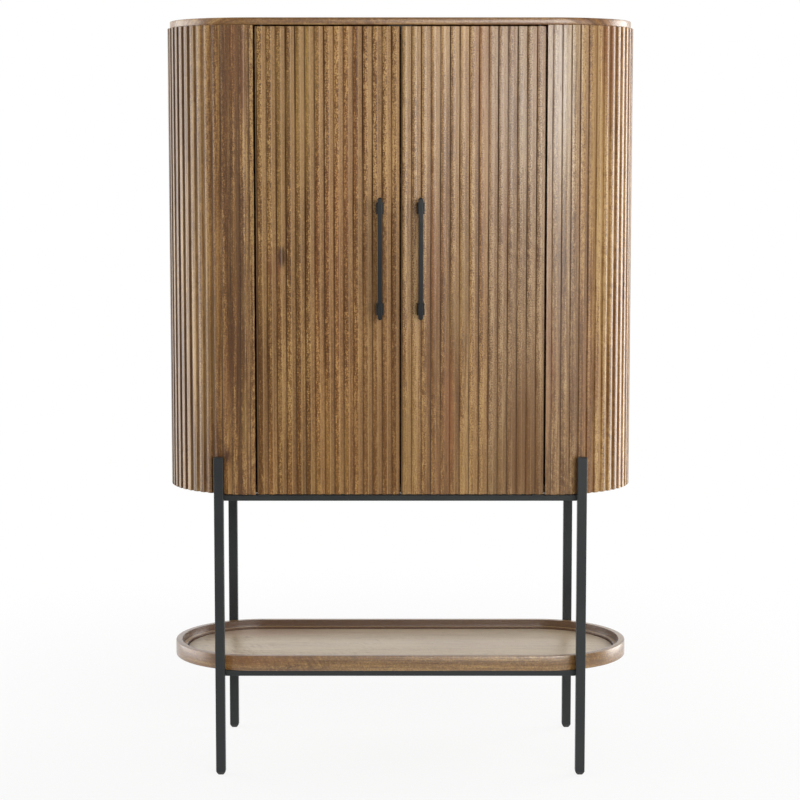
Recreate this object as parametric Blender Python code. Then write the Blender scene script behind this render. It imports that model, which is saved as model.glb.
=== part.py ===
# Oval highboard: a ribbed two-door cabinet on a square-tube steel base with a low tray.
# Metres, +Z up, the doors face -Y. The origin is on the floor, under the middle of the whole object.

import math

import bmesh
import bpy
import numpy as np
from mathutils import Vector

# Cabinet
WIDTH = 1.000                 # over the rib faces, end to end
DEPTH = 0.380                 # over the rib faces, front to back
HEIGHT = 1.600
CABINET_BOTTOM = 0.603        # underside of the walls, above the floor
TOP_THICK = 0.015
TOP_SET_BACK = 0.005          # edge of the top behind the rib faces
BOTTOM_THICK = 0.018
WALL_THICK = 0.018            # ribs included
BACK_THICK = 0.012
STILE = 0.0045                # straight strip of each wall beside its door
GAP = 0.0003                  # between pieces that touch

# Ribs
RIB_PITCH = 0.020
RIB_WIDTH = 0.010
RIB_DEPTH = 0.004
RIB_DRAFT = 0.0004            # slope of a rib's flank over its depth
RIB_EDGE = 0.0008             # eased edge of a rib
LEFT_DOOR_FIRST_RIB = 0.0045  # from the door's left edge
RIGHT_DOOR_FIRST_RIB = 0.003
LEFT_WALL_FIRST_RIB = -0.0017  # from the wall's front edge, so this rib is cut by the edge
RIGHT_WALL_FIRST_RIB = 0.012

# Doors
DOOR_THICK = 0.018            # ribs included
CENTRE_GAP = 0.003
SIDE_GAP = 0.004
DOOR_TOP_GAP = 0.0035
DOOR_BOTTOM_GAP = 0.001       # door edge above the underside of the walls

# Door pivots
PIVOT_INSET = 0.013           # axis from the door's outer edge
SWING_ROOM = 0.001            # between the turning door and what stands behind it
UPPER_PIN_RADIUS = 0.002
LOWER_PIN_RADIUS = 0.003
PIN_SINK = 0.025              # length of each pin inside the door
BUSH_WALL = 0.0012
BUSH_LENGTH = 0.008
BUSH_FLANGE = 0.001
PLATE_WIDTH = 0.024
PLATE_NOSE = 0.0065           # plate in front of the pivot axis
PLATE_TAIL = 0.045            # plate behind the pivot axis
WASHER_WIDTH = 0.0035

# Handles
HANDLE_INSET = 0.0408         # centre line from the door's free edge
HANDLE_HEIGHT = 1.102         # middle of the bar, above the floor
BAR_LENGTH = 0.254
BAR_SIZE = 0.010
BAR_EDGE = 0.0014
BAR_TIP = 0.0035              # length of the tapered ends
POST_SPACING = 0.210
POST_WIDTH = 0.016
POST_HEIGHT = 0.024
POST_LENGTH = 0.022
POST_EDGE = 0.0012
SCREW_RADIUS = 0.002
SCREW_HEAD_RADIUS = 0.004
SCREW_HEAD = 0.0025
HANDLE_SCREW_GRIP = 0.012     # thread inside the post
BASE_SCREW_GRIP = 0.012       # thread inside the bottom panel

# Magnet catch
CATCH_WIDTH = 0.052
CATCH_DEPTH = 0.014
CATCH_HEIGHT = 0.012
STRIKE_WIDTH = 0.016
STRIKE_HEIGHT = 0.013
STRIKE_THICK = 0.001
STRIKE_INSET = 0.006          # strike plate from the door's free edge
CATCH_AIR = 0.0005            # between the magnets and the strike plates

# Shelves
SHELF_THICK = 0.018
SHELF_SET_BACK = 0.020        # front edge behind the doors
SHELF_END_GAP = 0.001         # so a shelf can be lifted out
CLEAT_WIDTH = 0.012
CLEAT_HEIGHT = 0.018
CLEAT_HALF_ANGLE = math.radians(40)

# Steel base
LEG_SIZE = 0.020
LEG_WALL = 0.0015
LEG_CORNER = 0.0018
LEG_END_INSET = 0.107         # outer side of a leg from the end of the cabinet
LEG_OVERLAP = 0.080           # leg above the underside of the cabinet
RAIL_WIDTH = 0.030
RAIL_HEIGHT = 0.012
RAIL_WALL = 0.0015
RAIL_CORNER = 0.0010
FRAME_GAP = 0.0026            # upper frame below the cabinet, for the pads and pivot plates
GLIDE_HEIGHT = 0.006
GLIDE_SPIGOT = 0.016
GLIDE_SHOULDER = 0.0012       # glide inside the leg's outline
GLIDE_FOOT = 0.0045           # resting face inside the leg's outline
PAD_LENGTH = 0.030
PAD_WIDTH = 0.014
BASE_FIXING_INSET = 0.153     # base screws from the inner sides of the legs
SMALL_CORNER = 0.0018         # corners of the pads, pivot plates and catch

# Tray
TRAY_BOTTOM = 0.223
TRAY_SET_BACK = 0.005         # edge of the rim behind the rib faces
RIM_HEIGHT = 0.032
RIM_THICK = 0.014
LEDGE_WIDTH = 0.011
LEDGE_DROP = 0.014            # ledge below the top of the rim
FLOOR_DROP = 0.004            # tray floor below the ledge
FLOOR_GAP = 0.003             # shadow gap round the tray floor

# Facets
ARC_STEPS = 32                # half-round ends
ROUND_STEPS = 20              # pins, bushes and screws
CORNER_STEPS = 3              # eased corners

# Derived places
RADIUS = DEPTH / 2
STRAIGHT = WIDTH / 2 - RADIUS                    # half length of the straight front
WALL_FRONT_X = STRAIGHT - STILE
DOOR_OUTER_X = WALL_FRONT_X - SIDE_GAP
DOOR_INNER_X = CENTRE_GAP / 2
DOOR_WIDTH = DOOR_OUTER_X - DOOR_INNER_X
TOP_UNDERSIDE = HEIGHT - TOP_THICK
DOOR_BOTTOM = CABINET_BOTTOM + DOOR_BOTTOM_GAP
DOOR_TOP = TOP_UNDERSIDE - DOOR_TOP_GAP
FRONT_Y = -RADIUS                                # plane of the rib faces
DOOR_BACK_Y = FRONT_Y + DOOR_THICK
PIVOT_X = DOOR_OUTER_X - PIVOT_INSET
PIVOT_Y = FRONT_Y + (RIB_DEPTH + DOOR_THICK) / 2  # middle of the board behind the ribs
SWING_RADIUS = math.hypot(PIVOT_INSET, DOOR_BACK_Y - PIVOT_Y)
INNER_RADIUS = RADIUS - WALL_THICK
INSIDE_FRONT_Y = PIVOT_Y + SWING_RADIUS + SWING_ROOM
HANDLE_X = DOOR_INNER_X + HANDLE_INSET
POST_FRONT_Y = FRONT_Y - GAP - POST_LENGTH
BAR_FRONT_Y = POST_FRONT_Y - GAP - BAR_SIZE
LEG_OUTER_X = WIDTH / 2 - LEG_END_INSET
LEG_INNER_X = LEG_OUTER_X - LEG_SIZE
LEG_BACK_Y = math.sqrt(RADIUS ** 2 - max(LEG_INNER_X - STRAIGHT, 0.0) ** 2) + GAP
LEG_FRONT_Y = LEG_BACK_Y + LEG_SIZE
LEG_TOP = CABINET_BOTTOM + LEG_OVERLAP
BASE_FIXING_X = LEG_INNER_X - BASE_FIXING_INSET
UPPER_FRAME_TOP = CABINET_BOTTOM - FRAME_GAP
LOWER_FRAME_TOP = TRAY_BOTTOM - GAP
TRAY_RADIUS = RADIUS - TRAY_SET_BACK
LEDGE_TOP = TRAY_BOTTOM + RIM_HEIGHT - LEDGE_DROP
CENTRING_Y = (-BAR_FRONT_Y - LEG_FRONT_Y) / 2    # puts the origin under the middle of the whole object
SIDES = {"left": -1, "right": 1}
ENDS = {"front": -1, "rear": 1}


def material(name, colour, roughness, metallic=0.0):
    mat = bpy.data.materials.new(name)
    mat.use_nodes = True
    shader = mat.node_tree.nodes["Principled BSDF"]
    shader.inputs["Base Color"].default_value = (*colour, 1.0)
    shader.inputs["Roughness"].default_value = roughness
    shader.inputs["Metallic"].default_value = metallic
    return mat


def empty(name, place, parent=None):
    obj = bpy.data.objects.new(name, None)
    obj.location = place
    obj.parent = parent
    bpy.context.collection.objects.link(obj)
    return obj


def finish(name, bm, finish_name, parent):
    # The mesh is in the cabinet's own coordinates, so a piece under a pivot is moved back by the pivot's place.
    bmesh.ops.recalc_face_normals(bm, faces=bm.faces)
    mesh = bpy.data.meshes.new(name)
    bm.to_mesh(mesh)
    bm.free()
    mesh.shade_smooth()
    mesh.set_sharp_from_angle(angle=math.radians(35))
    obj = bpy.data.objects.new(name, mesh)
    obj.parent = parent
    if parent is not ROOT:
        obj.location = -parent.location
    if finish_name:
        mesh.materials.append(FINISHES[finish_name])
    bpy.context.collection.objects.link(obj)
    return obj


def loft(name, loops, finish_name, parent, cyclic=False):
    # Joins loops of equally many points; the ends are capped unless the last loop joins the first.
    bm = bmesh.new()
    rings = [[bm.verts.new(point) for point in loop] for loop in loops]
    pairs = list(zip(rings, rings[1:]))
    if cyclic:
        pairs.append((rings[-1], rings[0]))
    else:
        bm.faces.new(rings[0])
        bm.faces.new(rings[-1])
    for low, high in pairs:
        for i in range(len(low)):
            j = (i + 1) % len(low)
            bm.faces.new((low[i], low[j], high[j], high[i]))
    return finish(name, bm, finish_name, parent)


def rounded_rectangle(low, high, corner):
    # Corners in a plane, anticlockwise from the lower right one.
    middles = (
        (high[0] - corner, low[1] + corner, -90),
        (high[0] - corner, high[1] - corner, 0),
        (low[0] + corner, high[1] - corner, 90),
        (low[0] + corner, low[1] + corner, 180),
    )
    points = []
    for u, v, start in middles:
        for step in range(CORNER_STEPS + 1):
            angle = math.radians(start + 90 * step / CORNER_STEPS)
            points.append((u + corner * math.cos(angle), v + corner * math.sin(angle)))
    return points


def level(points, z):
    return [(x, y, z) for x, y in points]


def block(name, low, high, corner, finish_name, parent):
    outline = rounded_rectangle(low[:2], high[:2], corner)
    return loft(name, [level(outline, low[2]), level(outline, high[2])], finish_name, parent)


def turned(name, base, axis, profile, finish_name, parent, cyclic=False):
    # The profile is pairs of a radius and a distance from the base along the axis.
    loops = []
    for radius, along in profile:
        loop = []
        for step in range(ROUND_STEPS):
            angle = 2 * math.pi * step / ROUND_STEPS
            u = radius * math.cos(angle)
            v = radius * math.sin(angle)
            offset = (u, v, along) if axis == "Z" else (u, along, v)
            loop.append(Vector(base) + Vector(offset))
        loops.append(loop)
    return loft(name, loops, finish_name, parent, cyclic)


def drill(target, base, axis, radius, start, stop):
    hole = turned(target.name + "_hole", base, axis, [(radius, start), (radius, stop)], None, target.parent)
    hole.hide_render = True
    hole.display_type = "WIRE"
    cut = target.modifiers.new("hole", "BOOLEAN")
    cut.operation = "DIFFERENCE"
    cut.object = hole


def stadium(radius):
    # Outline with half-round ends, anticlockwise from the front right.
    points = []
    for side in (1, -1):
        for step in range(ARC_STEPS + 1):
            angle = math.pi * step / ARC_STEPS
            points.append((side * (STRAIGHT + radius * math.sin(angle)), -side * radius * math.cos(angle)))
    return points


def inside_outline(radius, front_y):
    # Oval cut straight across the front.
    start = math.acos(min(-front_y / radius, 1.0))
    right = []
    for step in range(ARC_STEPS + 1):
        angle = start + (math.pi - start) * step / ARC_STEPS
        right.append((STRAIGHT + radius * math.sin(angle), -radius * math.cos(angle)))
    return right + [(-x, y) for x, y in reversed(right)]


def ribbed_face(length, first_rib):
    # Points of the ribbed side of a board: distance along it, and depth below the rib faces.
    along = []
    depth = []
    for count in range(-1, int(length / RIB_PITCH) + 2):
        start = first_rib + count * RIB_PITCH
        stop = start + RIB_WIDTH
        along += [start - RIB_DRAFT, start, start + RIB_EDGE, stop - RIB_EDGE, stop, stop + RIB_DRAFT]
        depth += [RIB_DEPTH, RIB_EDGE, 0.0, 0.0, RIB_EDGE, RIB_DEPTH]
    inner = [(s, d) for s, d in zip(along, depth) if RIB_DRAFT < s < length - RIB_DRAFT]
    ends = np.interp((0.0, length), along, depth)
    return [(0.0, float(ends[0]))] + inner + [(length, float(ends[1]))]


def ribbed_board(name, face, place, thick, bottom, top, parent):
    # place(along, depth) gives a point of the plan.
    bm = bmesh.new()
    rows = []
    for along, depth in face:
        front = place(along, depth)
        back = place(along, thick)
        rows.append([bm.verts.new((*point, z)) for point, z in
                     ((front, bottom), (front, top), (back, top), (back, bottom))])
    bm.faces.new(rows[0])
    bm.faces.new(rows[-1])
    for one, two in zip(rows, rows[1:]):
        for i in range(4):
            j = (i + 1) % 4
            bm.faces.new((one[i], one[j], two[j], two[i]))
    return finish(name, bm, "wood", parent)


def build_wall(name, side, first_rib):
    arc_length = math.pi * RADIUS
    length = arc_length + 2 * STILE

    def place(along, depth):
        radius = RADIUS - depth
        if along < STILE:
            return side * (WALL_FRONT_X + along), -radius
        if along > STILE + arc_length:
            return side * (STRAIGHT + STILE + arc_length - along), radius
        angle = (along - STILE) / RADIUS
        return side * (STRAIGHT + radius * math.sin(angle)), -radius * math.cos(angle)

    face = ribbed_face(length, first_rib)
    ribbed_board(name, face, place, WALL_THICK, CABINET_BOTTOM, TOP_UNDERSIDE - GAP, ROOT)


def build_panels():
    cover = stadium(RADIUS - TOP_SET_BACK)
    top = loft("top_panel", [level(cover, z) for z in (TOP_UNDERSIDE, HEIGHT)], "wood", ROOT)
    floor = inside_outline(INNER_RADIUS - GAP, INSIDE_FRONT_Y)
    heights = (CABINET_BOTTOM, CABINET_BOTTOM + BOTTOM_THICK)
    bottom = loft("bottom_panel", [level(floor, z) for z in heights], "wood", ROOT)
    back_y = RADIUS - RIB_DEPTH
    half = WALL_FRONT_X - GAP
    block("back_panel", (-half, back_y - BACK_THICK, CABINET_BOTTOM), (half, back_y, TOP_UNDERSIDE - GAP),
          RIB_EDGE, "wood", ROOT)
    return top, bottom


def build_shelf(name, top):
    outline = inside_outline(INNER_RADIUS - SHELF_END_GAP, DOOR_BACK_Y + SHELF_SET_BACK)
    underside = top - SHELF_THICK
    loft(name + "_shelf", [level(outline, z) for z in (underside, top)], "wood", ROOT)
    for side_name, side in SIDES.items():
        loops = []
        for z in (underside - GAP - CLEAT_HEIGHT, underside - GAP):
            points = []
            for radius, turn in ((INNER_RADIUS - GAP, 1), (INNER_RADIUS - GAP - CLEAT_WIDTH, -1)):
                for step in range(ARC_STEPS // 2 + 1):
                    angle = turn * CLEAT_HALF_ANGLE * (4 * step / ARC_STEPS - 1)
                    points.append((side * (STRAIGHT + radius * math.cos(angle)), radius * math.sin(angle), z))
            loops.append(points)
        loft(f"shelf_cleat_{name}_{side_name}", loops, "wood", ROOT)


def build_door(side_name, side, first_rib, top_panel):
    pivot = empty(f"{side_name}_door_pivot", (side * PIVOT_X, PIVOT_Y, 0.0), ROOT)
    start_x = min(side * DOOR_OUTER_X, side * DOOR_INNER_X)

    def place(along, depth):
        return start_x + along, FRONT_Y + depth

    door = ribbed_board(f"{side_name}_door", ribbed_face(DOOR_WIDTH, first_rib), place, DOOR_THICK,
                        DOOR_BOTTOM, DOOR_TOP, pivot)
    build_pivots(side_name, side, door, top_panel)
    build_handle(side_name, side, door)
    strike_x = side * (DOOR_INNER_X + STRIKE_INSET + STRIKE_WIDTH / 2)
    strike_y = DOOR_BACK_Y + GAP
    block(f"strike_plate_{side_name}",
          (strike_x - STRIKE_WIDTH / 2, strike_y, DOOR_TOP - STRIKE_HEIGHT),
          (strike_x + STRIKE_WIDTH / 2, strike_y + STRIKE_THICK, DOOR_TOP),
          STRIKE_THICK / 4, "steel", door.parent)


def build_pivots(side_name, side, door, top_panel):
    axis_x = side * PIVOT_X
    pivot = door.parent

    upper_bottom = DOOR_TOP - PIN_SINK
    upper_top = TOP_UNDERSIDE + BUSH_LENGTH - GAP
    turned(f"upper_pivot_pin_{side_name}", (axis_x, PIVOT_Y, 0), "Z",
           [(UPPER_PIN_RADIUS, upper_bottom), (UPPER_PIN_RADIUS, upper_top)], "steel", pivot)
    drill(door, (axis_x, PIVOT_Y, 0), "Z", UPPER_PIN_RADIUS + GAP, upper_bottom - GAP, DOOR_TOP + GAP)

    bore = UPPER_PIN_RADIUS + GAP
    bush = bore + BUSH_WALL
    flange = bush + BUSH_WALL
    flange_top = TOP_UNDERSIDE - GAP
    bush_top = TOP_UNDERSIDE + BUSH_LENGTH
    turned(f"upper_pivot_bush_{side_name}", (axis_x, PIVOT_Y, 0), "Z",
           [(bore, flange_top - BUSH_FLANGE), (flange, flange_top - BUSH_FLANGE), (flange, flange_top),
            (bush, flange_top), (bush, bush_top), (bore, bush_top)], "plastic", ROOT, cyclic=True)
    drill(top_panel, (axis_x, PIVOT_Y, 0), "Z", bush + GAP, TOP_UNDERSIDE - GAP, bush_top + GAP)

    plate_top = CABINET_BOTTOM - GAP
    plate_bottom = UPPER_FRAME_TOP + GAP
    plate = block(f"lower_pivot_plate_{side_name}",
                  (axis_x - PLATE_WIDTH / 2, PIVOT_Y - PLATE_NOSE, plate_bottom),
                  (axis_x + PLATE_WIDTH / 2, PIVOT_Y + PLATE_TAIL, plate_top),
                  SMALL_CORNER, "black_steel", ROOT)
    drill(plate, (axis_x, PIVOT_Y, 0), "Z", LOWER_PIN_RADIUS + GAP, plate_bottom - GAP, plate_top + GAP)
    lower_top = DOOR_BOTTOM + PIN_SINK
    turned(f"lower_pivot_pin_{side_name}", (axis_x, PIVOT_Y, 0), "Z",
           [(LOWER_PIN_RADIUS, plate_bottom), (LOWER_PIN_RADIUS, lower_top)], "steel", pivot)
    drill(door, (axis_x, PIVOT_Y, 0), "Z", LOWER_PIN_RADIUS + GAP, DOOR_BOTTOM - GAP, lower_top + GAP)
    hole = LOWER_PIN_RADIUS + GAP
    rim = hole + WASHER_WIDTH
    low = plate_top + GAP
    high = DOOR_BOTTOM - GAP
    turned(f"lower_pivot_washer_{side_name}", (axis_x, PIVOT_Y, 0), "Z",
           [(hole, low), (rim, low), (rim, high), (hole, high)], "plastic", ROOT, cyclic=True)


def build_handle(side_name, side, door):
    centre_x = side * HANDLE_X
    pivot = door.parent
    half = BAR_LENGTH / 2
    tip = BAR_SIZE / 4
    loops = []
    for z, inset in ((-half, tip), (-half + BAR_TIP, 0.0), (half - BAR_TIP, 0.0), (half, tip)):
        low = (centre_x - BAR_SIZE / 2 + inset, BAR_FRONT_Y + inset)
        high = (centre_x + BAR_SIZE / 2 - inset, BAR_FRONT_Y + BAR_SIZE - inset)
        loops.append(level(rounded_rectangle(low, high, BAR_EDGE), HANDLE_HEIGHT + z))
    loft(f"handle_bar_{side_name}", loops, "black_steel", pivot)

    for end_name, end in (("lower", -1), ("upper", 1)):
        centre_z = HANDLE_HEIGHT + end * POST_SPACING / 2
        post = block(f"handle_post_{side_name}_{end_name}",
                     (centre_x - POST_WIDTH / 2, POST_FRONT_Y, centre_z - POST_HEIGHT / 2),
                     (centre_x + POST_WIDTH / 2, FRONT_Y - GAP, centre_z + POST_HEIGHT / 2),
                     POST_EDGE, "black_steel", pivot)
        head_y = DOOR_BACK_Y + GAP
        screw_end = FRONT_Y - GAP - HANDLE_SCREW_GRIP
        turned(f"handle_screw_{side_name}_{end_name}", (centre_x, 0, centre_z), "Y",
               [(SCREW_HEAD_RADIUS * 0.75, head_y + SCREW_HEAD), (SCREW_HEAD_RADIUS, head_y + SCREW_HEAD / 2),
                (SCREW_HEAD_RADIUS, head_y), (SCREW_RADIUS, head_y), (SCREW_RADIUS, screw_end)], "steel", pivot)
        for target, start, stop in ((door, FRONT_Y - GAP, head_y), (post, screw_end - GAP, FRONT_Y)):
            drill(target, (centre_x, 0, centre_z), "Y", SCREW_RADIUS + GAP, start, stop)


def build_catch():
    front_y = DOOR_BACK_Y + GAP + STRIKE_THICK + CATCH_AIR
    top = TOP_UNDERSIDE - GAP
    block("magnet_catch", (-CATCH_WIDTH / 2, front_y, top - CATCH_HEIGHT),
          (CATCH_WIDTH / 2, front_y + CATCH_DEPTH, top), SMALL_CORNER, "plastic", ROOT)


def build_leg(name, x_side, y_side):
    # One chain of loops: down the bore from its closed top, round the open end, and up the outside.
    centre = (x_side * (LEG_INNER_X + LEG_SIZE / 2), y_side * (LEG_BACK_Y + LEG_SIZE / 2))

    def section(inset, corner, z):
        half = LEG_SIZE / 2 - inset
        low = (centre[0] - half, centre[1] - half)
        high = (centre[0] + half, centre[1] + half)
        return level(rounded_rectangle(low, high, corner), z)

    bore_corner = LEG_CORNER / 4
    ease = LEG_WALL / 2
    leg_bottom = GLIDE_HEIGHT + GAP
    loft("leg_" + name, [
        section(LEG_WALL, bore_corner, LEG_TOP - LEG_WALL),
        section(LEG_WALL, bore_corner, leg_bottom),
        section(ease, LEG_CORNER, leg_bottom),
        section(0.0, LEG_CORNER, leg_bottom + ease),
        section(0.0, LEG_CORNER, LEG_TOP - ease),
        section(ease, LEG_CORNER, LEG_TOP),
    ], "black_steel", ROOT)

    spigot = LEG_WALL + GAP
    loft("glide_" + name, [
        section(GLIDE_FOOT, LEG_CORNER, 0.0),
        section(GLIDE_SHOULDER, LEG_CORNER, GLIDE_HEIGHT - LEG_WALL),
        section(GLIDE_SHOULDER, LEG_CORNER, GLIDE_HEIGHT),
        section(spigot, bore_corner, GLIDE_HEIGHT),
        section(spigot, bore_corner, GLIDE_HEIGHT + GLIDE_SPIGOT),
    ], "plastic", ROOT)


def build_rail(name, axis, low, high):
    # Flat tube, open at both ends along its axis.
    def section(at, inset, corner):
        across = 1 if axis == "X" else 0
        corners = ((low[across] + inset, low[2] + inset), (high[across] - inset, high[2] - inset))
        flat = rounded_rectangle(*corners, corner)
        if axis == "X":
            return [(at, y, z) for y, z in flat]
        return [(x, at, z) for x, z in flat]

    along = 0 if axis == "X" else 1
    bore_corner = RAIL_CORNER / 4
    return loft(name, [
        section(low[along], RAIL_WALL, bore_corner),
        section(low[along], 0.0, RAIL_CORNER),
        section(high[along], 0.0, RAIL_CORNER),
        section(high[along], RAIL_WALL, bore_corner),
    ], "black_steel", ROOT, cyclic=True)


def build_frame(name, top):
    # Side rails run between the legs, and the front and rear rails between the side rails.
    bottom = top - RAIL_HEIGHT
    outer_y = LEG_BACK_Y - GAP
    for side_name, side in SIDES.items():
        x_range = sorted((side * LEG_INNER_X, side * LEG_OUTER_X))
        build_rail(f"{name}_rail_{side_name}", "Y", (x_range[0], -outer_y, bottom), (x_range[1], outer_y, top))
    half = LEG_INNER_X - GAP
    rails = {}
    for end_name, end in ENDS.items():
        y_range = sorted((end * outer_y, end * (outer_y - RAIL_WIDTH)))
        rails[end_name] = build_rail(f"{name}_rail_{end_name}", "X", (-half, y_range[0], bottom),
                                     (half, y_range[1], top))
    return rails


def build_fixings(rails, bottom_panel):
    # Screws through the upper frame into the bottom panel, clear of the pads behind them.
    fixing_y = LEG_BACK_Y - RAIL_WIDTH + PAD_WIDTH / 2
    head_top = UPPER_FRAME_TOP - RAIL_HEIGHT - GAP
    screw_top = CABINET_BOTTOM + BASE_SCREW_GRIP
    for end_name, end in ENDS.items():
        for side_name, side in SIDES.items():
            base = (side * BASE_FIXING_X, end * fixing_y, 0)
            turned(f"base_screw_{end_name}_{side_name}", base, "Z",
                   [(SCREW_HEAD_RADIUS * 0.75, head_top - SCREW_HEAD),
                    (SCREW_HEAD_RADIUS, head_top - SCREW_HEAD / 2),
                    (SCREW_HEAD_RADIUS, head_top), (SCREW_RADIUS, head_top), (SCREW_RADIUS, screw_top)],
                   "steel", ROOT)
            drill(rails[end_name], base, "Z", SCREW_RADIUS + GAP, head_top, UPPER_FRAME_TOP + GAP)
            drill(bottom_panel, base, "Z", SCREW_RADIUS + GAP, CABINET_BOTTOM - GAP, screw_top + GAP)
    for side_name, side in SIDES.items():
        pad_x = side * (BASE_FIXING_X + PAD_LENGTH)
        block(f"spacer_pad_{side_name}",
              (pad_x - PAD_LENGTH / 2, fixing_y - PAD_WIDTH / 2, UPPER_FRAME_TOP + GAP),
              (pad_x + PAD_LENGTH / 2, fixing_y + PAD_WIDTH / 2, CABINET_BOTTOM - GAP),
              SMALL_CORNER, "plastic", ROOT)


def build_tray():
    rim_top = TRAY_BOTTOM + RIM_HEIGHT
    ease = RIB_EDGE
    ledge_in = RIM_THICK + LEDGE_WIDTH
    section = (
        (0.0, TRAY_BOTTOM), (0.0, rim_top - ease), (ease, rim_top), (RIM_THICK - ease, rim_top),
        (RIM_THICK, rim_top - ease), (RIM_THICK, LEDGE_TOP), (ledge_in, LEDGE_TOP), (ledge_in, TRAY_BOTTOM),
    )
    rim = [level(stadium(TRAY_RADIUS - inset), z) for inset, z in section]
    loft("tray_rim", rim, "wood", ROOT, cyclic=True)
    floor = stadium(TRAY_RADIUS - ledge_in - FLOOR_GAP)
    loft("tray_floor", [level(floor, z) for z in (TRAY_BOTTOM, LEDGE_TOP - FLOOR_DROP)], "wood", ROOT)


for old in list(bpy.data.objects):
    bpy.data.objects.remove(old)

FINISHES = {
    "wood": material("mango_wood", (0.26, 0.15, 0.07), 0.45),
    "black_steel": material("black_powder_coat", (0.035, 0.037, 0.038), 0.5),
    "steel": material("zinc_steel", (0.55, 0.55, 0.55), 0.35, 1.0),
    "plastic": material("black_plastic", (0.03, 0.03, 0.03), 0.6),
}
ROOT = empty("highboard", (0.0, CENTRING_Y, 0.0))

top_panel, bottom_panel = build_panels()
build_wall("left_wall", SIDES["left"], LEFT_WALL_FIRST_RIB)
build_wall("right_wall", SIDES["right"], RIGHT_WALL_FIRST_RIB)
build_door("left", SIDES["left"], LEFT_DOOR_FIRST_RIB, top_panel)
build_door("right", SIDES["right"], RIGHT_DOOR_FIRST_RIB, top_panel)
build_catch()

inside_bottom = CABINET_BOTTOM + BOTTOM_THICK
bay = (TOP_UNDERSIDE - inside_bottom - 2 * SHELF_THICK) / 3
build_shelf("lower", inside_bottom + bay + SHELF_THICK)
build_shelf("upper", inside_bottom + 2 * (bay + SHELF_THICK))

for end_name, end in ENDS.items():
    for side_name, side in SIDES.items():
        build_leg(f"{end_name}_{side_name}", side, end)
upper_rails = build_frame("upper", UPPER_FRAME_TOP)
build_frame("lower", LOWER_FRAME_TOP)
build_fixings(upper_rails, bottom_panel)
build_tray()
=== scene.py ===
import math

import bmesh
import bpy
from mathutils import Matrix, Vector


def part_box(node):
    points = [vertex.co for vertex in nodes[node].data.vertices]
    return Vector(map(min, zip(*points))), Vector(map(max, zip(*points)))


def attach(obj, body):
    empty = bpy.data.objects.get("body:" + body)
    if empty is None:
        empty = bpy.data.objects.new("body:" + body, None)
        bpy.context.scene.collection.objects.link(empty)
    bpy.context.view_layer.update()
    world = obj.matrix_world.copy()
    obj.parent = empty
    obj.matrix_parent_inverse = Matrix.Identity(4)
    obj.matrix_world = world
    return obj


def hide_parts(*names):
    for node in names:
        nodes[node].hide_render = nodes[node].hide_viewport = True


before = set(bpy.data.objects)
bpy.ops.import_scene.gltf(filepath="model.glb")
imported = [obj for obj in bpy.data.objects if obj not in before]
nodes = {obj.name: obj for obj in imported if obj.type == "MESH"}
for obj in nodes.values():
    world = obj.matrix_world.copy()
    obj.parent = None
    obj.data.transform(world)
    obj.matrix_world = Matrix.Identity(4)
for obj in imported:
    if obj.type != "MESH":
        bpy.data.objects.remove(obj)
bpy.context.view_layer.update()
scene = bpy.context.scene
scene.view_settings.view_transform = "Standard"
print("frame loaded:", len(nodes), "nodes")


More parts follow.
